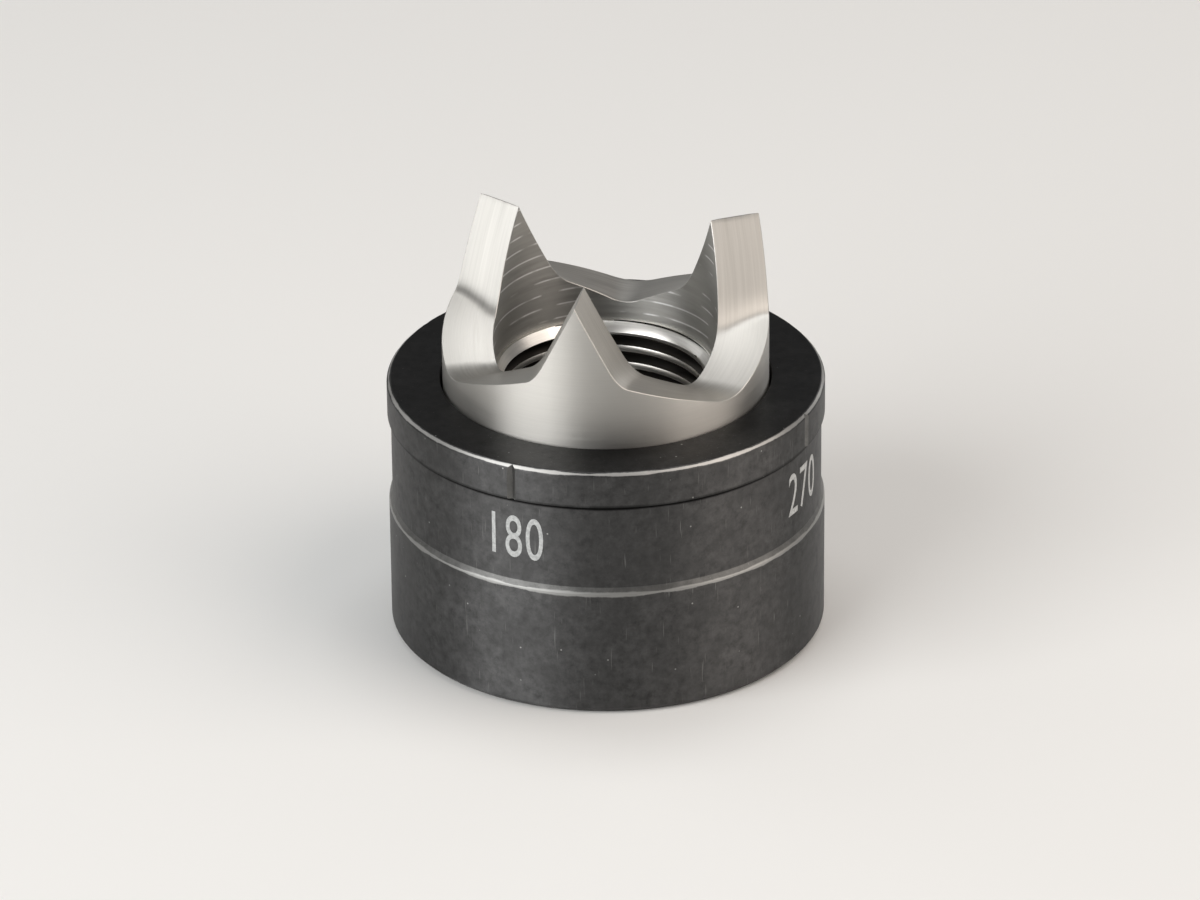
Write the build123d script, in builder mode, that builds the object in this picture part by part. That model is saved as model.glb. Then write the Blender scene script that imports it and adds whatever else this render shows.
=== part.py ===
from build123d import *
import os
from math import ceil, cos, hypot, radians, sin, tan

# A knockout punch and its die for sheet metal, standing as they are stored: the punch rests inside
# the die with its three cutting prongs upwards. Sizes are in millimetres and degrees, Z = 0 is the
# die's base, and the Z axis is the line that the punch is drawn along.

# Punch
punch_diameter = 28.3
punch_height = 28.0
punch_base_chamfer = 0.8
prong_count = 3
first_prong_angle = 270

# Each prong is a wedge with flat flanks and a level edge. Between two prongs lies a valley: two ramps
# climb evenly with the angle round the axis from the trough to the flanks. Heights are counted up
# from the line where the ramps would meet.
prong_rise = 11.19
prong_point_angle = 53
ramp_rise_per_degree = 0.0857
trough_blend = 0.68
flank_blend_radius = 3.0

# The throat leaves the prongs their thickness, and the draw stud clears it: a 3/4 inch thread, 19.05
# across, with 16 turns to the inch. The throat's narrow floor and lead-in chamfer open into it.
prong_thickness = 4.45
thread_pitch = 25.4 / 16
thread_depth = 0.775
thread_root_flat = 0.2
thread_flank_angle = 30
thread_start_angle = 191
throat_clearance = 0.35
throat_depth = 12.55
lead_in_width = 0.65
lead_in_height = 0.87
thread_exit_chamfer = 0.8

# Die
cutting_clearance = 0.5
die_wall = 4.6
cavity_depth = 15.0
floor_thickness = 8.2
land_height = 6.0
relief_step = 0.3
stud_clearance = 0.95
stud_hole_chamfer = 0.5
rim_chamfer = 0.35
die_base_chamfer = 0.5

# The rim, the recessed band under it and the sloping shoulder below the band
rim_height = 3.3
band_height = 7.76
band_recess = 0.3
shoulder_height = 0.54

# Upright alignment scribes across the rim
scribe_count = 4
scribe_width = 0.8
scribe_depth = 0.3
first_scribe_angle = 75.4

# Sizes that follow from the ones above
punch_radius = punch_diameter / 2
punch_top = floor_thickness + punch_height
throat_radius = punch_radius - prong_thickness
thread_radius = throat_radius - throat_clearance / 2
crest_radius = thread_radius - thread_depth
throat_floor = punch_top - throat_depth
bore_radius = (punch_diameter + cutting_clearance) / 2
relief_radius = bore_radius + relief_step
die_radius = bore_radius + die_wall
band_radius = die_radius - band_recess
die_height = floor_thickness + cavity_depth
stud_hole_radius = thread_radius + stud_clearance / 2
past = 1.0


# The cutter of one valley lies along +X and is the common part of two bodies. The first has the
# ramps' outline, drawn square to the valley. It widens in proportion to the distance from the axis,
# so each line of the ramps runs level and radial, and the trough is blended by a parabola. The
# outline passes through a few points of the even climb and ends a little beyond the prong's edge.
half_valley = 180 / prong_count
first_valley_angle = first_prong_angle + half_valley
near_reach = crest_radius / 3
far_reach = punch_radius + past
trough_height = punch_top - prong_rise
trough_side_angle = trough_blend / ramp_rise_per_degree
outline_end_angle = half_valley + 6
outline_spans = 6
outline_places = [point / outline_spans for point in range(outline_spans + 1)]
outline_angles = [
    trough_side_angle + (outline_end_angle - trough_side_angle) * place for place in outline_places
]

# The second body is a trough with two flat sides, the flanks of the prongs on both hands. Its
# bottom line falls outwards, so that each side passes through a prong's level edge.
flank_slope = 1 / tan(radians(prong_point_angle / 2))
flank_rise = flank_slope * cos(radians(half_valley))
flank_fall = flank_slope * sin(radians(half_valley))

with BuildPart() as valley_cutter:
    for reach in (near_reach, far_reach):
        ramp = [
            (reach * tan(radians(angle)), trough_height + ramp_rise_per_degree * angle)
            for angle in outline_angles
        ]
        top = (ramp[-1][0], punch_top + past)
        with BuildSketch(Plane.YZ.offset(reach)):
            with BuildLine():
                add(Edge.make_spline(ramp, parameters=outline_places))
                Line(ramp[-1], top)
                mirror(about=Plane.YZ)
                Bezier(ramp[0], (0, trough_height), (-ramp[0][0], ramp[0][1]))
                Line(top, (-top[0], top[1]))
            make_face()
    loft(ruled=True)
    for reach in (near_reach, far_reach):
        bottom = (0, punch_top - flank_fall * reach)
        side = (past + flank_fall * reach) / flank_rise
        with BuildSketch(Plane.YZ.offset(reach)):
            Polygon(bottom, (side, punch_top + past), (-side, punch_top + past), align=None)
    loft(ruled=True, mode=Mode.INTERSECT)


# One turn of the thread's groove: a 60 degree section swept along one turn of the helix.
flank_tangent = tan(radians(thread_flank_angle))
inner_depth = thread_depth / 3
inner_half = thread_root_flat / 2 + (thread_depth + inner_depth) * flank_tangent
thread_turns = ceil((throat_floor - floor_thickness) / thread_pitch) + 2

with BuildPart() as groove_turn:
    with BuildLine(Plane.XY.rotated((0, 0, thread_start_angle))) as helix_line:
        Helix(pitch=thread_pitch, height=thread_pitch, radius=crest_radius)
    outward = Vector(helix_line.line @ 0).normalized()
    with BuildSketch(Plane(origin=helix_line.line @ 0, x_dir=outward, z_dir=helix_line.line % 0)):
        Polygon(
            (-inner_depth, -inner_half),
            (-inner_depth, inner_half),
            (thread_depth, thread_root_flat / 2),
            (thread_depth, -thread_root_flat / 2),
            align=None,
        )
    sweep(is_frenet=True)


def is_flank_foot(edge):
    """Tells the lines where flanks meet ramps: they cross the wall between the trough and the tip."""
    middle = edge @ 0.5
    off_wall = abs(hypot(middle.X, middle.Y) - (throat_radius + punch_radius) / 2)
    above_trough = middle.Z - (trough_height + trough_blend)
    below_edge = punch_top - middle.Z
    return off_wall < prong_thickness / 4 and min(above_trough, below_edge) > trough_blend / 10


# Punch: turned and bored, then the valleys are cut and the thread is tapped right through.
with BuildPart() as punch:
    with BuildSketch(Plane.XZ.rotated((0, 0, first_valley_angle))):
        with BuildLine():
            Polyline(
                (crest_radius + thread_exit_chamfer, floor_thickness),
                (punch_radius - punch_base_chamfer, floor_thickness),
                (punch_radius, floor_thickness + punch_base_chamfer),
                (punch_radius, punch_top + past / 2),
                (throat_radius, punch_top + past / 2),
                (throat_radius, throat_floor),
                (crest_radius + lead_in_width, throat_floor),
                (crest_radius, throat_floor - lead_in_height),
                (crest_radius, floor_thickness + thread_exit_chamfer),
                close=True,
            )
        make_face()
    revolve(axis=Axis.Z)
    with PolarLocations(0, prong_count, start_angle=first_valley_angle):
        add(valley_cutter.part, mode=Mode.SUBTRACT)
    fillet(punch.edges().filter_by(is_flank_foot), radius=flank_blend_radius)
    for turn in range(thread_turns):
        with Locations((0, 0, floor_thickness + (turn - 1) * thread_pitch)):
            add(groove_turn.part, mode=Mode.SUBTRACT)
punch.part.label = "punch"


# Die: the cutting land at the mouth, the wider relief below it, and the floor with the stud's hole.
rim_bottom = die_height - rim_height
band_bottom = rim_bottom - band_height

with BuildPart() as die:
    with BuildSketch(Plane.XZ):
        with BuildLine():
            Polyline(
                (stud_hole_radius + stud_hole_chamfer, 0),
                (die_radius - die_base_chamfer, 0),
                (die_radius, die_base_chamfer),
                (die_radius, band_bottom - shoulder_height),
                (band_radius, band_bottom),
                (band_radius, rim_bottom),
                (die_radius, rim_bottom),
                (die_radius, die_height - rim_chamfer),
                (die_radius - rim_chamfer, die_height),
                (bore_radius, die_height),
                (bore_radius, die_height - land_height),
                (relief_radius, die_height - land_height - relief_step),
                (relief_radius, floor_thickness),
                (stud_hole_radius + stud_hole_chamfer, floor_thickness),
                (stud_hole_radius, floor_thickness - stud_hole_chamfer),
                (stud_hole_radius, stud_hole_chamfer),
                close=True,
            )
        make_face()
    revolve(axis=Axis.Z)
    with BuildSketch(Plane.XY.offset(rim_bottom)):
        with PolarLocations(die_radius, scribe_count, start_angle=first_scribe_angle):
            Polygon(
                (-scribe_depth, 0),
                (scribe_depth, -scribe_width),
                (scribe_depth, scribe_width),
                align=None,
            )
    extrude(amount=rim_height, mode=Mode.SUBTRACT)
die.part.label = "die"


os.makedirs("parts", exist_ok=True)
for piece in (punch, die):
    export_step(piece.part, f"parts/{piece.part.label}.step")
    print(piece.part.label, "solids", len(piece.part.solids()), "volume", round(piece.part.volume, 2))
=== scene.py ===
# %% [markdown]
# A knockout punch cuts one round hole in sheet metal. Here it stands in its own die with the three
# cutting prongs upwards, as the set is kept between jobs. The imported CAD model is loaded first and
# nothing of it is moved: it gives the sizes. The two pieces that are seen are turned again here as
# finer meshes, because bright steel shows every facet of a coarse one.

import math

import bmesh
import bpy
from mathutils import Matrix, Vector, noise


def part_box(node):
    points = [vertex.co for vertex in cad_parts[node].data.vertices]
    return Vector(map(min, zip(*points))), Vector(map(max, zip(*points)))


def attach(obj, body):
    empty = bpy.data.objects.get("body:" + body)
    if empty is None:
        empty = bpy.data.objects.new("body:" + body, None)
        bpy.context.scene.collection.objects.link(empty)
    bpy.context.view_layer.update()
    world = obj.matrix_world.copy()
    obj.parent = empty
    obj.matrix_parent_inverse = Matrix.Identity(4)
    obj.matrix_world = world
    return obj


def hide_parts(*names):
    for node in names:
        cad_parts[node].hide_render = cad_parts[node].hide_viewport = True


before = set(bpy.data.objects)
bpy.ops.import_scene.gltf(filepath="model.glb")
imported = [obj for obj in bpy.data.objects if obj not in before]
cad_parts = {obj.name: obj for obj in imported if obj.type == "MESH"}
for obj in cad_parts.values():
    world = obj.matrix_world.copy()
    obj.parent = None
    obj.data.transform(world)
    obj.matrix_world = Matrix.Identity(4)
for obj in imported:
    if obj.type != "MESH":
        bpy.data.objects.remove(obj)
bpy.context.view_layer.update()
punch_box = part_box("punch")
die_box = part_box("die")
print("punch from", punch_box[0].z, "to", punch_box[1].z, "die up to", die_box[1].z)

# %% [markdown]
# Blender works in metres and a toolmaker in millimetres, so each size below is written in
# millimetres and multiplied by MM. Heights that both pieces share come from the frame.

# %% Sizes of the punch
MM = 0.001
TURN = 2 * math.pi
SEAT = round(punch_box[0].z, 5)
TIP = round(punch_box[1].z, 5)
DIE_TOP = round(die_box[1].z, 5)

PUNCH_RADIUS = 14.15 * MM
PUNCH_CHAMFER = 0.8 * MM
THROAT_RADIUS = 9.7 * MM
THROAT_DEPTH = 12.55 * MM
CREST_RADIUS = 8.75 * MM
LEAD_IN_WIDTH = 0.65 * MM
LEAD_IN_HEIGHT = 0.87 * MM
THREAD_CHAMFER = 0.8 * MM
THREAD_PITCH = 25.4 / 16 * MM
THREAD_DEPTH = 0.775 * MM
THREAD_ROOT = 0.2 * MM
THREAD_START = math.radians(191)

PRONGS = 3
FRONT_PRONG = math.radians(270)
PRONG_RISE = 11.19 * MM
PRONG_POINT = math.radians(53)
RAMP_RISE = 0.0857 * MM / math.radians(1)
TROUGH_BLEND = 0.68 * MM
FLANK_BLEND = 1.35 * MM

# %% [markdown]
# Each prong is a wedge with two flat flanks and a level edge. Between two prongs lies a valley, whose
# two ramps climb evenly with the angle round the axis. The cut surface is therefore the higher of
# two simple heights, and both corners are blended. That is all that is needed to cut the valleys:
# the blank is spun first, and the vertices of its top are then set to height.

# %% The height of the valleys
HALF_VALLEY = math.pi / PRONGS
FLANK_SLOPE = 1 / math.tan(PRONG_POINT / 2)
TROUGH_SIDE = TROUGH_BLEND / RAMP_RISE


def valley_height(angle, radius):
    """The height of the cut surface above the trough's line, at a place round the axis."""
    from_prong = (angle - FRONT_PRONG) % (2 * HALF_VALLEY)
    from_trough = abs(from_prong - HALF_VALLEY)
    flank = PRONG_RISE - FLANK_SLOPE * radius * math.sin(HALF_VALLEY - from_trough)
    ramp = RAMP_RISE * from_trough
    if from_trough < TROUGH_SIDE:
        ramp = TROUGH_BLEND / 2 * (1 + (from_trough / TROUGH_SIDE) ** 2)
    inside_blend = max(FLANK_BLEND - abs(flank - ramp), 0)
    return max(flank, ramp) + inside_blend**2 / (4 * FLANK_BLEND)


for place, angle in (("trough", FRONT_PRONG + HALF_VALLEY), ("tip", FRONT_PRONG)):
    print(place, round(valley_height(angle, PUNCH_RADIUS) / MM, 2), "mm above the trough's line")

# %% [markdown]
# Round pieces are spun from half of their section, as on a lathe. One helper does it for the blank
# and the die, another gives a mesh its object, and a third sets smooth shading with crisp edges.
# Where a narrow bevel meets a large face, the edge between them has to stay sharp: smoothed, it
# would bend the large face's shading, and bright steel would show that as a false step of light.

# %% Helpers for turned pieces
SPIN_STEPS = 720


def spun(bm, section, steps=SPIN_STEPS):
    """Spins a closed section of (radius, height) points once round the Z axis."""
    ring = [bm.verts.new((radius, 0, height)) for radius, height in section]
    edges = [bm.edges.new((a, b)) for a, b in zip(ring, ring[1:] + ring[:1])]
    bmesh.ops.spin(
        bm,
        geom=ring + edges,
        cent=(0, 0, 0),
        axis=(0, 0, 1),
        dvec=(0, 0, 0),
        angle=TURN,
        steps=steps,
        use_merge=True,
    )
    bmesh.ops.remove_doubles(bm, verts=bm.verts, dist=MM / 10000)
    bmesh.ops.recalc_face_normals(bm, faces=bm.faces)


def object_from(bm, name, materials=()):
    mesh = bpy.data.meshes.new(name)
    bm.to_mesh(mesh)
    bm.free()
    obj = bpy.data.objects.new(name, mesh)
    bpy.context.scene.collection.objects.link(obj)
    for material in materials:
        mesh.materials.append(material)
    print(name, len(mesh.polygons), "faces")
    return obj


def apply_modifiers(obj):
    """Replaces an object's mesh by the result of its modifiers."""
    graph = bpy.context.evaluated_depsgraph_get()
    done = bpy.data.meshes.new_from_object(obj.evaluated_get(graph))
    obj.modifiers.clear()
    obj.data = done


def cut_with(obj, cutter):
    """Cuts one closed piece out of another for good, and deletes the cutter."""
    cut = obj.modifiers.new("cut", "BOOLEAN")
    cut.operation = "DIFFERENCE"
    cut.solver = "MANIFOLD"
    cut.object = cutter
    apply_modifiers(obj)
    bpy.data.objects.remove(cutter)


def shade(obj, angle):
    """Smooth faces that keep each edge sharper than the angle, in degrees."""
    obj.data.shade_smooth()
    obj.data.set_sharp_from_angle(angle=math.radians(angle))
    weighted = obj.modifiers.new("weighted", "WEIGHTED_NORMAL")
    weighted.keep_sharp = True
    apply_modifiers(obj)


# %% [markdown]
# The blank is a thick tube: a ground outside, a wide throat, a narrow ledge and a lead-in cone
# above the thread's crests. Its top is a flat ring, and setting that ring's vertices to the
# valley's height turns it into three prongs. A tool's edges are never perfectly sharp, so a bevel
# of a few hundredths of a millimetre is put on them, and it catches the light as real ones do.

# %% Punch blank and valleys
EDGE_BREAK = 0.045 * MM
PUNCH_SHARP = 28
RIBBON_RINGS = 6
RIBBON_STEP = (PUNCH_RADIUS - THROAT_RADIUS) / RIBBON_RINGS
throat_floor = TIP - THROAT_DEPTH
trough_line = TIP - PRONG_RISE


def is_top(vert):
    return vert.co.z > TIP - EDGE_BREAK


def punch_blank():
    bm = bmesh.new()
    section = [
        (CREST_RADIUS + THREAD_CHAMFER, SEAT),
        (PUNCH_RADIUS - PUNCH_CHAMFER, SEAT),
        (PUNCH_RADIUS, SEAT + PUNCH_CHAMFER),
        (PUNCH_RADIUS, DIE_TOP),
        *[(PUNCH_RADIUS - RIBBON_STEP * ring, TIP) for ring in range(RIBBON_RINGS + 1)],
        (THROAT_RADIUS, throat_floor),
        (CREST_RADIUS + LEAD_IN_WIDTH, throat_floor),
        (CREST_RADIUS, throat_floor - LEAD_IN_HEIGHT),
        (CREST_RADIUS, SEAT + THREAD_CHAMFER),
    ]
    spun(bm, section)
    top = [vert for vert in bm.verts if is_top(vert)]
    top_edges = [edge for edge in bm.edges if all(is_top(vert) for vert in edge.verts)]
    ridges = []
    for edge in top_edges:
        middle = (edge.verts[0].co + edge.verts[1].co) / 2
        inner = min(vert.co.xy.length for vert in edge.verts)
        outer = max(vert.co.xy.length for vert in edge.verts)
        radial = outer - inner > RIBBON_STEP / 2
        rim = inner > PUNCH_RADIUS - RIBBON_STEP / 2 or outer < THROAT_RADIUS + RIBBON_STEP / 2
        from_prong = (math.atan2(middle.y, middle.x) - FRONT_PRONG) % (2 * HALF_VALLEY)
        off_ridge = min(from_prong, 2 * HALF_VALLEY - from_prong)
        on_ridge = radial and off_ridge < TURN / SPIN_STEPS / 4
        if rim or on_ridge:
            ridges.append(edge)
    for vert in top:
        around = math.atan2(vert.co.y, vert.co.x)
        vert.co.z = trough_line + valley_height(around, vert.co.xy.length)
    bmesh.ops.bevel(
        bm,
        geom=ridges,
        offset=EDGE_BREAK,
        offset_type="OFFSET",
        segments=1,
        profile=0.5,
        affect="EDGES",
        clamp_overlap=True,
        material=-1,
    )
    return object_from(bm, "punch_body")


punch_body = punch_blank()

# %% [markdown]
# The thread is a helix, so its groove is spun as well: the section of the groove goes round the
# axis and climbs one pitch in each turn. The section flares a little where it meets the bore, which
# takes the sharpness off the crests, and those narrow slopes are what shines in a dark bore. The
# spin leaves both ends open, and they are filled, for a Boolean needs a closed cutter.

# %% Thread
THREAD_STEPS = 144
CREST_BREAK = 0.07 * MM


def thread_cutter():
    bm = bmesh.new()
    flank = math.tan(math.radians(30))
    groove_edge = THREAD_ROOT / 2 + (THREAD_DEPTH - CREST_BREAK) * flank
    mouth = groove_edge + 3 * CREST_BREAK
    half = [
        (CREST_RADIUS + THREAD_DEPTH, THREAD_ROOT / 2),
        (CREST_RADIUS + CREST_BREAK, groove_edge),
        (CREST_RADIUS - CREST_BREAK / 2, mouth),
    ]
    section = half + [(radius, -height) for radius, height in reversed(half)]
    start = SEAT - THREAD_PITCH
    turns = math.ceil((throat_floor - SEAT) / THREAD_PITCH) + 2
    ring = [bm.verts.new((radius, 0, start + height)) for radius, height in section]
    edges = [bm.edges.new((a, b)) for a, b in zip(ring, ring[1:] + ring[:1])]
    bmesh.ops.rotate(bm, verts=ring, cent=(0, 0, 0), matrix=Matrix.Rotation(THREAD_START, 3, "Z"))
    bmesh.ops.spin(
        bm,
        geom=ring + edges,
        cent=(0, 0, 0),
        axis=(0, 0, 1),
        dvec=(0, 0, THREAD_PITCH / THREAD_STEPS),
        angle=TURN * turns,
        steps=THREAD_STEPS * turns,
    )
    bmesh.ops.holes_fill(bm, edges=[edge for edge in bm.edges if edge.is_boundary])
    bmesh.ops.recalc_face_normals(bm, faces=bm.faces)
    return object_from(bm, "thread_cutter")


cut_with(punch_body, thread_cutter())
shade(punch_body, PUNCH_SHARP)
low = min(vert.co.z for vert in punch_body.data.vertices)
high = max(vert.co.z for vert in punch_body.data.vertices)
print("punch", len(punch_body.data.polygons), "faces, from", low, "to", high)

# %% [markdown]
# The die is a heavy ring with a floor. Its outside shows a rim, a band that is turned a little
# smaller so that its marks don't rub off, and a sloping shoulder back to full size. It is spun from
# one section too, and bevelled, since blackened corners show as fine lines of light.

# %% Sizes of the die
DIE_RADIUS = 19.0 * MM
BORE_RADIUS = 14.4 * MM
LAND_HEIGHT = 6.0 * MM
RELIEF_STEP = 0.3 * MM
STUD_HOLE_RADIUS = 10.0 * MM
HOLE_CHAMFER = 0.5 * MM
RIM_HEIGHT = 3.3 * MM
RIM_CHAMFER = 0.35 * MM
BAND_HEIGHT = 7.76 * MM
BAND_RADIUS = 18.7 * MM
SHOULDER_HEIGHT = 0.54 * MM
BASE_CHAMFER = 0.5 * MM
DIE_STEPS = 360
CORNER_BREAK = 0.07 * MM
DIE_SHARP = 32

rim_bottom = DIE_TOP - RIM_HEIGHT
band_bottom = rim_bottom - BAND_HEIGHT
relief_radius = BORE_RADIUS + RELIEF_STEP

# %% [markdown]
# The rim's top edge is the one that gets knocked. Its vertices are pushed in by a little noise,
# mostly by nothing and here and there by a few hundredths of a millimetre, which reads as nicks.

# %% Die
NICK_DEPTH = 0.06 * MM
NICK_SIZE = 1.1 * MM


def nick(point):
    """How far the rim's edge is pushed in at a point."""
    return NICK_DEPTH * max(0.0, noise.noise(point / NICK_SIZE) - 0.15)


def die_blank():
    bm = bmesh.new()
    section = [
        (STUD_HOLE_RADIUS + HOLE_CHAMFER, 0),
        (DIE_RADIUS - BASE_CHAMFER, 0),
        (DIE_RADIUS, BASE_CHAMFER),
        (DIE_RADIUS, band_bottom - SHOULDER_HEIGHT),
        (BAND_RADIUS, band_bottom),
        (BAND_RADIUS, rim_bottom),
        (DIE_RADIUS, rim_bottom),
        (DIE_RADIUS, DIE_TOP - RIM_CHAMFER),
        (DIE_RADIUS - RIM_CHAMFER, DIE_TOP),
        (BORE_RADIUS, DIE_TOP),
        (BORE_RADIUS, DIE_TOP - LAND_HEIGHT),
        (relief_radius, DIE_TOP - LAND_HEIGHT - RELIEF_STEP),
        (relief_radius, SEAT),
        (STUD_HOLE_RADIUS + HOLE_CHAMFER, SEAT),
        (STUD_HOLE_RADIUS, SEAT - HOLE_CHAMFER),
        (STUD_HOLE_RADIUS, HOLE_CHAMFER),
    ]
    spun(bm, section, DIE_STEPS)
    around = [edge for edge in bm.edges if abs(edge.verts[0].co.z - edge.verts[1].co.z) < MM / 10000]
    corners = [edge for edge in around if abs(edge.calc_face_angle()) > math.radians(20)]
    bmesh.ops.bevel(
        bm,
        geom=corners,
        offset=CORNER_BREAK,
        offset_type="OFFSET",
        segments=2,
        profile=0.5,
        affect="EDGES",
        clamp_overlap=True,
        material=-1,
    )
    for vert in bm.verts:
        on_chamfer = vert.co.z > DIE_TOP - RIM_CHAMFER - CORNER_BREAK
        if on_chamfer and vert.co.xy.length > DIE_RADIUS - RIM_CHAMFER - CORNER_BREAK:
            inward = nick(vert.co) * vert.co.xy.normalized()
            vert.co.xy -= inward
    return object_from(bm, "die_body")


die_body = die_blank()

# %% [markdown]
# Four upright scribes across the rim line the die up with the cross lines that are drawn on the
# sheet. Each is cut with a square bar turned on its corner, so that it leaves a V.

# %% Scribes
SCRIBES = 4
FIRST_SCRIBE = math.radians(75.4)
SCRIBE_WIDTH = 0.8 * MM
SCRIBE_DEPTH = 0.285 * MM
SCRIBE_OVERRUN = 0.5 * MM
scribe_angles = [FIRST_SCRIBE + TURN * number / SCRIBES for number in range(SCRIBES)]


def scribe_cutter(angle):
    """A bar with a diamond section, upright across the rim, whose near corner is the V's bottom."""
    bm = bmesh.new()
    bmesh.ops.create_cone(
        bm,
        cap_ends=True,
        segments=4,
        radius1=2 * SCRIBE_DEPTH,
        radius2=2 * SCRIBE_DEPTH,
        depth=2 * RIM_HEIGHT,
    )
    widen = SCRIBE_WIDTH / 2 / SCRIBE_DEPTH
    bmesh.ops.scale(bm, verts=bm.verts, vec=(1, widen, 1))
    out = DIE_RADIUS + SCRIBE_DEPTH
    bmesh.ops.translate(bm, verts=bm.verts, vec=(out, 0, DIE_TOP - SCRIBE_OVERRUN))
    turn = Matrix.Rotation(angle, 3, "Z")
    bmesh.ops.rotate(bm, verts=bm.verts, cent=(0, 0, 0), matrix=turn)
    bmesh.ops.recalc_face_normals(bm, faces=bm.faces)
    return object_from(bm, "scribe_cutter")


for angle in scribe_angles:
    cut_with(die_body, scribe_cutter(angle))
shade(die_body, DIE_SHARP)
print("die", len(die_body.data.polygons), "faces")

# %% [markdown]
# Plain dial numbers stand under the scribes, on the recessed band. The real ones are marked with a
# laser and have no height, so these are thin plates that stand one or two hundredths proud.
# The letters are made flat, cut into narrow strips and then bent round the band.

# %% Dial numbers
DIGIT_HEIGHT = 4.0 * MM
DIGIT_NARROWING = 0.62
DIGIT_SPACING = 1.08
MARK_PROUD = 0.015 * MM
STRIP = 0.35 * MM
mark_middle = (rim_bottom + band_bottom) / 2


def flat_number(text):
    """A number as a flat plate, centred, in a bmesh."""
    curve = bpy.data.curves.new("number", "FONT")
    curve.body = text
    curve.align_x = "CENTER"
    curve.align_y = "CENTER"
    curve.space_character = DIGIT_SPACING
    curve.extrude = MARK_PROUD
    curve.resolution_u = 6
    writing = bpy.data.objects.new("number", curve)
    bpy.context.scene.collection.objects.link(writing)
    graph = bpy.context.evaluated_depsgraph_get()
    mesh = bpy.data.meshes.new_from_object(writing.evaluated_get(graph))
    bpy.data.objects.remove(writing)
    bm = bmesh.new()
    bm.from_mesh(mesh)
    bpy.data.meshes.remove(mesh)
    tall = max(vert.co.y for vert in bm.verts) - min(vert.co.y for vert in bm.verts)
    grow = DIGIT_HEIGHT / tall
    bmesh.ops.scale(bm, verts=bm.verts, vec=(grow * DIGIT_NARROWING, grow, 1))
    return bm


def dial_numbers(labels):
    whole = bmesh.new()
    for text, angle in labels:
        bm = flat_number(text)
        edge = max(abs(vert.co.x) for vert in bm.verts)
        strips = math.ceil(edge / STRIP)
        for number in range(-strips, strips + 1):
            geom = bm.verts[:] + bm.edges[:] + bm.faces[:]
            bmesh.ops.bisect_plane(bm, geom=geom, plane_co=(number * STRIP, 0, 0), plane_no=(1, 0, 0))
        for vert in bm.verts:
            around = angle + vert.co.x / BAND_RADIUS
            out = BAND_RADIUS + vert.co.z
            vert.co = (out * math.cos(around), out * math.sin(around), mark_middle + vert.co.y)
        part = bpy.data.meshes.new("part")
        bm.to_mesh(part)
        bm.free()
        whole.from_mesh(part)
        bpy.data.meshes.remove(part)
    bmesh.ops.remove_doubles(whole, verts=whole.verts, dist=MM / 10000)
    bmesh.ops.recalc_face_normals(whole, faces=whole.faces)
    return object_from(whole, "dial_numbers")


labels = [f"{number * 360 // SCRIBES:03d}" for number in range(SCRIBES)]
dial = dial_numbers(zip(labels, scribe_angles))

# %% [markdown]
# Every finish is made of nodes. One helper adds a node with its settings and links, and one turns a
# colour picked in sRGB into the linear values that the renderer counts in.

# %% Helpers for finishes


def linear(code):
    """An sRGB hex colour as linear red, green, blue and alpha."""
    channels = [int(code[at : at + 2], 16) / 255 for at in (1, 3, 5)]
    return [c / 12.92 if c <= 0.04045 else ((c + 0.055) / 1.055) ** 2.4 for c in channels] + [1]


def add(tree, kind, inputs=None, **settings):
    """Adds one node. An input takes a plain value or the output of another node."""
    made = tree.nodes.new(kind)
    for name, value in settings.items():
        setattr(made, name, value)
    for name, value in (inputs or {}).items():
        if isinstance(value, bpy.types.NodeSocket):
            tree.links.new(value, made.inputs[name])
        else:
            made.inputs[name].default_value = value
    return made


def new_finish(name):
    """A material with only its shader, ready for nodes."""
    material = bpy.data.materials.new(name)
    material.use_nodes = True
    tree = material.node_tree
    return material, tree, tree.nodes["Principled BSDF"]


def place_on_lathe(tree):
    """The point itself, its distance from the axis and its height, all in metres."""
    point = add(tree, "ShaderNodeTexCoord").outputs["Object"]
    flat = add(tree, "ShaderNodeVectorMath", {0: point, 1: (1, 1, 0)}, operation="MULTIPLY")
    radius = add(tree, "ShaderNodeVectorMath", {0: flat.outputs[0]}, operation="LENGTH")
    split = add(tree, "ShaderNodeSeparateXYZ", {0: point})
    return point, radius.outputs["Value"], split.outputs["Z"]


def lathe_sheen(tree, shader, amount):
    """Spreads reflections across the marks that a tool leaves round the axis."""
    tangent = add(tree, "ShaderNodeTangent", direction_type="RADIAL", axis="Z")
    tree.links.new(tangent.outputs[0], shader.inputs["Tangent"])
    shader.inputs["Anisotropic"].default_value = amount
    shader.inputs["Anisotropic Rotation"].default_value = 0.25


# %% [markdown]
# The punch is hardened tool steel, turned, milled and ground bright. Every tool left fine marks that
# run round the axis, and such marks spread a reflection across themselves: that is why the wall
# shows upright bands of light. The shader's anisotropy does this, with a tangent that runs round
# the axis and a quarter turn, and noise that is drawn out along the marks gives the lines
# themselves. Marks finer than a tenth of a millimetre would not show, so they are drawn that coarse.
# A grinding wheel also leaves shallow waves round the piece, which break a reflection into bands.

# %% Bright tool steel
GRIND_REACH = 6.0 * MM
SCORE_PITCH = 1.3 * MM
SCORE_WIDTH = 0.10 * MM
SCORE_LENGTH = 2.6 * MM
WAVE_LENGTH = 1.6 * MM


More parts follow.
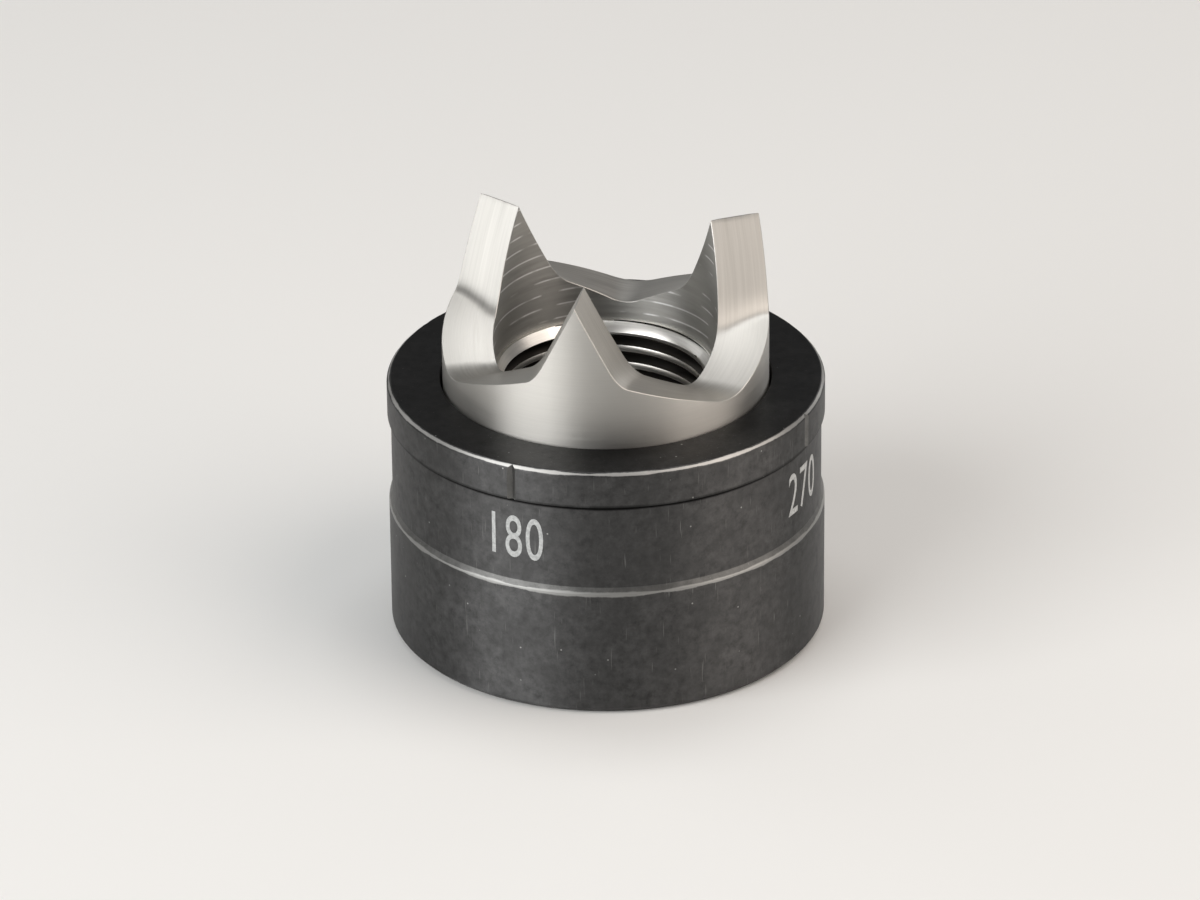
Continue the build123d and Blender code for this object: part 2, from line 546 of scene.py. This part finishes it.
def tool_marks(tree, across, spacing, reach):
    """Noise that changes once in a spacing across the marks and once in a reach along them."""
    point, radius, height = place_on_lathe(tree)
    along = add(tree, "ShaderNodeVectorMath", {0: point, "Scale": 1 / reach}, operation="SCALE")
    split = add(tree, "ShaderNodeSeparateXYZ", {0: along.outputs[0]})
    line = {"height": height, "radius": radius}[across]
    fine = add(tree, "ShaderNodeMath", {0: line, 1: 1 / spacing}, operation="MULTIPLY")
    drawn = {"X": split.outputs["X"], "Y": split.outputs["Y"], "Z": fine.outputs[0]}
    vector = add(tree, "ShaderNodeCombineXYZ", drawn)
    marks = {"Vector": vector.outputs[0], "Scale": 1, "Detail": 3, "Roughness": 0.6}
    return add(tree, "ShaderNodeTexNoise", marks).outputs["Fac"]


def score_lines(tree, strength):
    """Thin broken lines that climb round the bore as a boring tool's drag marks do."""
    point, _, height = place_on_lathe(tree)
    split = add(tree, "ShaderNodeSeparateXYZ", {0: point})
    angle = {0: split.outputs["Y"], 1: split.outputs["X"]}
    round_it = add(tree, "ShaderNodeMath", angle, operation="ARCTAN2").outputs[0]
    climbed = add(tree, "ShaderNodeMath", {0: round_it, 1: 1 / TURN}, operation="MULTIPLY")
    pitches = add(tree, "ShaderNodeMath", {0: height, 1: 1 / SCORE_PITCH}, operation="MULTIPLY")
    helix = {0: pitches.outputs[0], 1: climbed.outputs[0]}
    phase = add(tree, "ShaderNodeMath", helix, operation="ADD")
    wrapped = add(tree, "ShaderNodeMath", {0: phase.outputs[0], 1: 0.5}, operation="PINGPONG")
    thin = SCORE_WIDTH / SCORE_PITCH
    line = {0: wrapped.outputs[0], 1: thin / 2, 2: thin, 3: strength, 4: 0.0}
    drawn = add(tree, "ShaderNodeMapRange", line)
    patchy = {"Vector": point, "Scale": 1 / SCORE_LENGTH, "Detail": 1, "Roughness": 0.5}
    patch = add(tree, "ShaderNodeTexNoise", patchy).outputs["Fac"]
    broken = add(tree, "ShaderNodeMapRange", {0: patch, 1: 0.46, 2: 0.56, 3: 0.0, 4: 1.0})
    both = {0: drawn.outputs[0], 1: broken.outputs[0]}
    return add(tree, "ShaderNodeMath", both, operation="MULTIPLY").outputs[0]


def waves(tree):
    """Noise that changes only along the way round the axis."""
    point = add(tree, "ShaderNodeTexCoord").outputs["Object"]
    level = add(tree, "ShaderNodeVectorMath", {0: point, 1: (1, 1, 0)}, operation="MULTIPLY")
    soft = {"Vector": level.outputs[0], "Scale": 1 / WAVE_LENGTH, "Detail": 1, "Roughness": 0.5}
    return add(tree, "ShaderNodeTexNoise", soft).outputs["Fac"]


def bright_steel(name, marked, tones, roughness, sheen, depth, wave=0.0, scores=0.0):
    """Tool steel that was cut or ground in lines round the axis, marked across a direction."""
    material, tree, shader = new_finish(name)
    across, spacing = marked
    marks = tool_marks(tree, across, spacing, GRIND_REACH)
    tone = {0: marks, 1: 0.3, 2: 0.7, 3: 0.0, 4: 1.0}
    contrast = add(tree, "ShaderNodeMapRange", tone).outputs[0]
    colour = {0: contrast, 6: linear(tones[0]), 7: linear(tones[1])}
    tint = add(tree, "ShaderNodeMix", colour, data_type="RGBA").outputs[2]
    if scores:
        scored = {0: score_lines(tree, scores), 6: tint, 7: linear("#FFFFFF")}
        tint = add(tree, "ShaderNodeMix", scored, data_type="RGBA").outputs[2]
    tree.links.new(tint, shader.inputs["Base Color"])
    spread = {0: marks, 1: 0.3, 2: 0.7, 3: roughness * 0.9, 4: roughness * 1.1}
    rough = add(tree, "ShaderNodeMapRange", spread)
    tree.links.new(rough.outputs[0], shader.inputs["Roughness"])
    bump = add(tree, "ShaderNodeBump", {"Height": marks, "Strength": 1.0, "Distance": depth})
    if wave:
        wavy = {"Height": waves(tree), "Strength": 1.0, "Distance": wave}
        wavy["Normal"] = bump.outputs["Normal"]
        bump = add(tree, "ShaderNodeBump", wavy)
    tree.links.new(bump.outputs["Normal"], shader.inputs["Normal"])
    lathe_sheen(tree, shader, sheen)
    shader.inputs["Metallic"].default_value = 1.0
    return material


WALL_MARKS = ("height", 0.12 * MM)
VALLEY_MARKS = ("radius", 0.22 * MM)
THROAT_MARKS = ("height", 0.40 * MM)
MOUTH_MARKS = ("radius", 0.15 * MM)
EVEN = ("#C1BFBA", "#C8C6C1")
STREAKED = ("#BAB8B3", "#C9C7C2")
DULL = ("#A09F9B", "#AEADA9")
CLEAN = ("#E2E0DB", "#F0EEE9")
# Painted shade: the thread's tones are drawn dark for the shade inside the bore.
THREAD_SHADE = ("#3C3A37", "#4E4B47")

# Ground wall: even and silky, with upright bands of light.
ground_wall = bright_steel(
    "ground_tool_steel", WALL_MARKS, EVEN, roughness=0.48, sheen=0.80, depth=0.00003 * MM, wave=0.012 * MM
)
# Milled flanks and ramps: the brightest faces, streaked by the cutter.
milled_valley = bright_steel(
    "milled_tool_steel", VALLEY_MARKS, STREAKED, roughness=0.42, sheen=0.50, depth=0.0008 * MM
)
# Bored throat: duller, with the thin broken drag marks of the boring tool.
bored_throat = bright_steel(
    "bored_tool_steel",
    THROAT_MARKS,
    DULL,
    roughness=0.50,
    sheen=0.72,
    depth=0.0001 * MM,
    wave=0.008 * MM,
    scores=0.6,
)
# Turned mouth of the bore: clean narrow rings that show as bright arcs.
turned_mouth = bright_steel(
    "turned_tool_steel", MOUTH_MARKS, CLEAN, roughness=0.34, sheen=0.50, depth=0.0002 * MM
)
# Tapped bore: its steel is painted dark as shade inside the thread, so that only the crests shine.
tapped_bore = bright_steel(
    "tapped_tool_steel", THROAT_MARKS, THREAD_SHADE, roughness=0.34, sheen=0.50, depth=0.0002 * MM
)

# %% [markdown]
# Each face of the punch gets the finish of the tool that made it. Where a face lies tells which
# tool that was, so the faces are sorted by their middle's radius and height.

# %% Finishes on the punch
EPSILON = 0.02 * MM
punch_finishes = [ground_wall, milled_valley, bored_throat, turned_mouth, tapped_bore]


def punch_finish(face):
    radius = face.center.xy.length
    height = face.center.z
    if radius > PUNCH_RADIUS - EPSILON:
        return ground_wall
    in_thread = height < throat_floor - LEAD_IN_HEIGHT + EPSILON or radius > CREST_RADIUS + LEAD_IN_WIDTH
    if radius < THROAT_RADIUS - EPSILON and in_thread and height < throat_floor - EPSILON:
        return turned_mouth if radius < CREST_RADIUS + EPSILON else tapped_bore
    if height < throat_floor + EPSILON:
        return turned_mouth
    if radius < THROAT_RADIUS + EPSILON and abs(face.normal.z) < 0.3:
        return bored_throat
    return milled_valley


def assign(obj, finishes, choose):
    obj.data.materials.clear()
    for finish in finishes:
        obj.data.materials.append(finish)
    for face in obj.data.polygons:
        face.material_index = finishes.index(choose(face))


assign(punch_body, punch_finishes, punch_finish)
for number, finish in enumerate(punch_finishes):
    count = sum(face.material_index == number for face in punch_body.data.polygons)
    print(finish.name, count)

# %% [markdown]
# The die is the same steel with a black oxide finish, a thin skin that grows in a hot salt bath. It
# isn't even: it is mottled and smudged, it has pale specks and fine upright scratches from being
# set down and picked up, and it is worn pale on the edges that rub. The wear is a band round each
# edge whose width follows a noise, so that it is ragged. The corner under the rim is never rubbed,
# and a dark band of the same kind there is painted shade: the shadow under the rim's overhang.

# %% Black oxide
MOTTLE_SIZE = 0.9 * MM
SMUDGE_SIZE = 3.2 * MM
SPECK_CELL = 1.3 * MM
SPECK_RADIUS = 0.10 * MM
SCRATCH_WIDTH = 0.16 * MM
SCRATCH_LENGTH = 2.6 * MM
GRAIN_SIZE = 0.25 * MM
WEAR_PATCH = 6.0 * MM


def soft_noise(tree, vector, size, detail=4, roughness=0.6):
    """Noise with patches of a given size, from 0 to 1 with most of its range in use."""
    patches = {"Vector": vector, "Scale": 1 / size, "Detail": detail, "Roughness": roughness}
    noise_in = add(tree, "ShaderNodeTexNoise", patches).outputs["Fac"]
    return add(tree, "ShaderNodeMapRange", {0: noise_in, 1: 0.32, 2: 0.68, 3: 0.0, 4: 1.0}).outputs[0]


def painted(tree, colour, share, shade_of):
    """A colour with a share of another one over it."""
    over = {0: share, 6: colour, 7: linear(shade_of)}
    return add(tree, "ShaderNodeMix", over, data_type="RGBA").outputs[2]


def specks(tree, point):
    """1 on small round dots, in every cell that draws a high enough lot."""
    cells = {"Vector": point, "Scale": 1 / SPECK_CELL, "Randomness": 1.0}
    cell = add(tree, "ShaderNodeTexVoronoi", cells)
    dot = {0: cell.outputs["Distance"], 1: 0.4 * SPECK_RADIUS / SPECK_CELL, 2: SPECK_RADIUS / SPECK_CELL}
    round_dot = add(tree, "ShaderNodeMapRange", {**dot, 3: 0.7, 4: 0.0}).outputs[0]
    lot = add(tree, "ShaderNodeSeparateColor", {0: cell.outputs["Color"]}).outputs[0]
    drawn = add(tree, "ShaderNodeMath", {0: lot, 1: 0.55}, operation="GREATER_THAN").outputs[0]
    return add(tree, "ShaderNodeMath", {0: round_dot, 1: drawn}, operation="MULTIPLY").outputs[0]


def scratches(tree, point):
    """Thin upright lines, faint and broken."""
    squeeze = (1 / SCRATCH_WIDTH, 1 / SCRATCH_WIDTH, 1 / SCRATCH_LENGTH)
    drawn = add(tree, "ShaderNodeVectorMath", {0: point, 1: squeeze}, operation="MULTIPLY").outputs[0]
    lines = add(tree, "ShaderNodeTexNoise", {"Vector": drawn, "Scale": 1, "Detail": 1}).outputs["Fac"]
    return add(tree, "ShaderNodeMapRange", {0: lines, 1: 0.70, 2: 0.80, 3: 0.0, 4: 0.45}).outputs[0]


# Draws the pale bands of wear on edges and the dark band of painted shade under the rim.
def edge_wear_and_shade(tree, place, edge, least, most):
    """1 on a band round a circular edge, given by radius and height, and 0 away from it."""
    point, radius, height = place
    out = add(tree, "ShaderNodeMath", {0: radius, 1: edge[0]}, operation="SUBTRACT")
    up = add(tree, "ShaderNodeMath", {0: height, 1: edge[1]}, operation="SUBTRACT")
    away = add(tree, "ShaderNodeCombineXYZ", {"X": out.outputs[0], "Y": up.outputs[0]})
    distance = add(tree, "ShaderNodeVectorMath", {0: away.outputs[0]}, operation="LENGTH")
    ragged = soft_noise(tree, point, WEAR_PATCH, detail=7, roughness=0.66)
    reach = add(tree, "ShaderNodeMapRange", {0: ragged, 1: 0.1, 2: 0.9, 3: least, 4: most})
    inner = add(tree, "ShaderNodeMath", {0: reach.outputs[0], 1: 0.6}, operation="MULTIPLY")
    band = {0: distance.outputs["Value"], 1: inner.outputs[0], 2: reach.outputs[0], 3: 1.0, 4: 0.0}
    return add(tree, "ShaderNodeMapRange", band).outputs[0]


def black_oxide(name, skin, roughness, sheen, worn_and_shaded_edges):
    material, tree, shader = new_finish(name)
    place = place_on_lathe(tree)
    point = place[0]
    mottle = soft_noise(tree, point, MOTTLE_SIZE, detail=6, roughness=0.7)
    smudge = soft_noise(tree, point, SMUDGE_SIZE, detail=6, roughness=0.66)
    both = add(tree, "ShaderNodeMath", {0: mottle, 1: smudge}, operation="MULTIPLY").outputs[0]
    toned = {0: mottle, 6: linear(skin[0]), 7: linear(skin[1])}
    colour = add(tree, "ShaderNodeMix", toned, data_type="RGBA").outputs[2]
    colour = painted(tree, colour, both, skin[2])
    colour = painted(tree, colour, scratches(tree, point), "#8C8C8A")
    colour = painted(tree, colour, specks(tree, point), "#B4B4B2")
    for edge, least, most, shade_of in worn_and_shaded_edges:
        colour = painted(tree, colour, edge_wear_and_shade(tree, place, edge, least, most), shade_of)
    tree.links.new(colour, shader.inputs["Base Color"])

    spread = {0: smudge, 1: 0.0, 2: 1.0, 3: roughness - 0.05, 4: roughness + 0.07}
    rough = add(tree, "ShaderNodeMapRange", spread)
    tree.links.new(rough.outputs[0], shader.inputs["Roughness"])
    grain = soft_noise(tree, point, GRAIN_SIZE, detail=2, roughness=0.5)
    bump = add(tree, "ShaderNodeBump", {"Height": grain, "Strength": 1.0, "Distance": 0.0016 * MM})
    tree.links.new(bump.outputs["Normal"], shader.inputs["Normal"])
    lathe_sheen(tree, shader, sheen)
    shader.inputs["Metallic"].default_value = 0.9
    return material


rim_edge = (DIE_RADIUS - RIM_CHAMFER / 2, DIE_TOP - RIM_CHAMFER / 2)
band_corner = (BAND_RADIUS, rim_bottom)
shoulder_edge = (DIE_RADIUS, band_bottom - SHOULDER_HEIGHT)
TURNED_SKIN = ("#444444", "#4D4D4D", "#646464")
GROUND_SKIN = ("#2A2A2A", "#303030", "#404040")
RUBBED_SKIN = ("#5C5C5B", "#666665", "#7C7C7A")
# The rim's and the shoulder's bands are pale wear; the dark band in the corner under the rim is painted
# shade, the shadow under the rim's overhang.
worn_and_shaded = [
    (rim_edge, 0.08 * MM, 0.25 * MM, "#C2C1BE"),
    (band_corner, 0.36 * MM, 0.44 * MM, "#0C0C0C"),
    (shoulder_edge, 0.10 * MM, 0.34 * MM, "#9C9C9A"),
]
# Black oxide on the turned side: satin, and lighter where it faces a lamp.
oxide_side = black_oxide("black_oxide_turned", TURNED_SKIN, roughness=0.50, sheen=0.85, worn_and_shaded_edges=worn_and_shaded)
# Black oxide on the ground top: darker and smoother.
oxide_ground = black_oxide(
    "black_oxide_ground", GROUND_SKIN, roughness=0.34, sheen=0.60, worn_and_shaded_edges=worn_and_shaded[:1]
)
# Rubbed oxide on the slope and in the scribes: thin and grey.
oxide_rubbed = black_oxide(
    "black_oxide_rubbed", RUBBED_SKIN, roughness=0.46, sheen=0.50, worn_and_shaded_edges=worn_and_shaded[2:3]
)


def die_finish(face):
    """The sloping shoulder and the scribes are rubbed the most, and the top face was ground."""
    height = face.center.z
    radius = face.center.xy.length
    on_slope = band_bottom - SHOULDER_HEIGHT < height < band_bottom and radius > BAND_RADIUS - EPSILON
    in_rim = rim_bottom < height < DIE_TOP - RIM_CHAMFER and abs(face.normal.z) < 0.1
    in_scribe = in_rim and BAND_RADIUS - SCRIBE_DEPTH < radius < DIE_RADIUS - EPSILON
    if on_slope or in_scribe:
        return oxide_rubbed
    return oxide_ground if face.normal.z > 0.9 else oxide_side


assign(die_body, [oxide_side, oxide_ground, oxide_rubbed], die_finish)

# %% [markdown]
# A laser turns the oxide to a pale, dull grey. The colour is nearly flat, with a little grain.

# %% Laser marks


def laser_mark():
    material, tree, shader = new_finish("laser_mark")
    point = add(tree, "ShaderNodeTexCoord").outputs["Object"]
    grain = {"Vector": point, "Scale": 1 / GRAIN_SIZE, "Detail": 3, "Roughness": 0.6}
    fine = add(tree, "ShaderNodeTexNoise", grain).outputs["Fac"]
    tone = add(tree, "ShaderNodeMapRange", {0: fine, 1: 0.3, 2: 0.7, 3: 0.0, 4: 1.0})
    grey = {0: tone.outputs[0], 6: linear("#9EA0A0"), 7: linear("#C4C6C5")}
    colour = add(tree, "ShaderNodeMix", grey, data_type="RGBA")
    tree.links.new(colour.outputs[2], shader.inputs["Base Color"])
    shader.inputs["Roughness"].default_value = 0.75
    return material


dial.data.materials.append(laser_mark())

# %% [markdown]
# Each piece is tied to the CAD body that it moves with, and stands for the CAD node that it covers.

# %% Tie the pieces to the frame
for piece, body, slot in (
    (punch_body, "punch", "ground_steel"),
    (die_body, "die", "blackened_steel"),
    (dial, "die", "blackened_steel"),
):
    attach(piece, body)
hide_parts("punch")
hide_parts("die")

# %% [markdown]
# The floor is a plain pale sheet, far larger than the view, so that its edge never shows.

# %% Floor
FLOOR_SIZE = 3.0


def pale_floor():
    bm = bmesh.new()
    bmesh.ops.create_grid(bm, x_segments=1, y_segments=1, size=FLOOR_SIZE)
    bmesh.ops.translate(bm, verts=bm.verts, vec=(0, 0, -EPSILON))
    material, tree, shader = new_finish("pale_paper")
    shader.inputs["Base Color"].default_value = linear("#EDEDEB")
    shader.inputs["Roughness"].default_value = 0.6
    return object_from(bm, "floor", [material])


pale_floor()

# %% [markdown]
# The camera has a long lens, a little above the object, turned so that the front prong stands left
# of the middle. Its place is given from the middle of the die's top: first how far it is turned and
# tipped, then how far back it stands, and last the small shift and roll of a hand-set camera.

# %% Camera
CAMERA_TURN = math.radians(10.7)
CAMERA_TIP = 0.476
CAMERA_REACH = 0.650
CAMERA_SHIFT = (-0.567 * MM, -6.673 * MM)
CAMERA_ROLL = 0.0101
LENS = 225.117

camera_data = bpy.data.cameras.new("camera")
camera_data.lens = LENS
camera_data.sensor_width = 36
camera = bpy.data.objects.new("camera", camera_data)
bpy.context.scene.collection.objects.link(camera)
camera.matrix_world = (
    Matrix.Translation((0, 0, DIE_TOP))
    @ Matrix.Rotation(CAMERA_TURN, 4, "Z")
    @ Matrix.Rotation(math.pi / 2 - CAMERA_TIP, 4, "X")
    @ Matrix.Translation((CAMERA_SHIFT[0], CAMERA_SHIFT[1], CAMERA_REACH))
    @ Matrix.Rotation(-CAMERA_ROLL, 4, "Z")
)
bpy.context.scene.camera = camera
print("camera at", [round(value, 4) for value in camera.matrix_world.translation])

# %% [markdown]
# Bright metal shows its lamps, so they are what draws it. A large softbox at the front left lights
# the wall and the left flanks, and one that hangs overhead lights the ramps. A weaker, warm one at
# the right gives the wall its second band. Two faint ones, at the left and behind, open up the
# blend under the left flank and the front prong's right side. Each is given by its angle from the
# camera's side and its height over the floor, in degrees, its width and height in metres, and its
# own brightness, from which its power follows.

# %% Lights
CAMERA_SIDE = -math.pi / 2 + CAMERA_TURN
LIGHT_REACH = 0.60


def softbox(name, side, lift, width, tall, brightness, tint="#FFFFFF"):
    lamp = bpy.data.lights.new(name, "AREA")
    lamp.shape = "RECTANGLE"
    lamp.size = width
    lamp.size_y = tall
    lamp.energy = brightness * width * tall * math.pi
    lamp.color = linear(tint)[:3]
    light = bpy.data.objects.new(name, lamp)
    around = CAMERA_SIDE + math.radians(side)
    upward = math.radians(lift)
    level = math.cos(upward)
    away = Vector((level * math.cos(around), level * math.sin(around), math.sin(upward)))
    light.rotation_euler = away.to_track_quat("Z", "Y").to_euler()
    light.location = LIGHT_REACH * away
    bpy.context.scene.collection.objects.link(light)
    return light


softbox("key_softbox", side=-51, lift=27, width=0.50, tall=0.52, brightness=4.0)
softbox("top_softbox", side=178, lift=76, width=0.30, tall=0.24, brightness=3.0)
softbox("warm_softbox", side=70, lift=38, width=0.56, tall=0.80, brightness=1.9, tint="#FFF4EB")
softbox("left_softbox", side=-128, lift=34, width=0.20, tall=0.44, brightness=0.7)
softbox("back_softbox", side=138, lift=14, width=0.20, tall=0.24, brightness=1.3)

world = bpy.data.worlds.new("studio")
bpy.context.scene.world = world
world.use_nodes = True
backdrop = world.node_tree.nodes["Background"]
backdrop.inputs["Color"].default_value = linear("#FFFFFF")
backdrop.inputs["Strength"].default_value = 0.16
bpy.context.scene.view_settings.view_transform = "Standard"
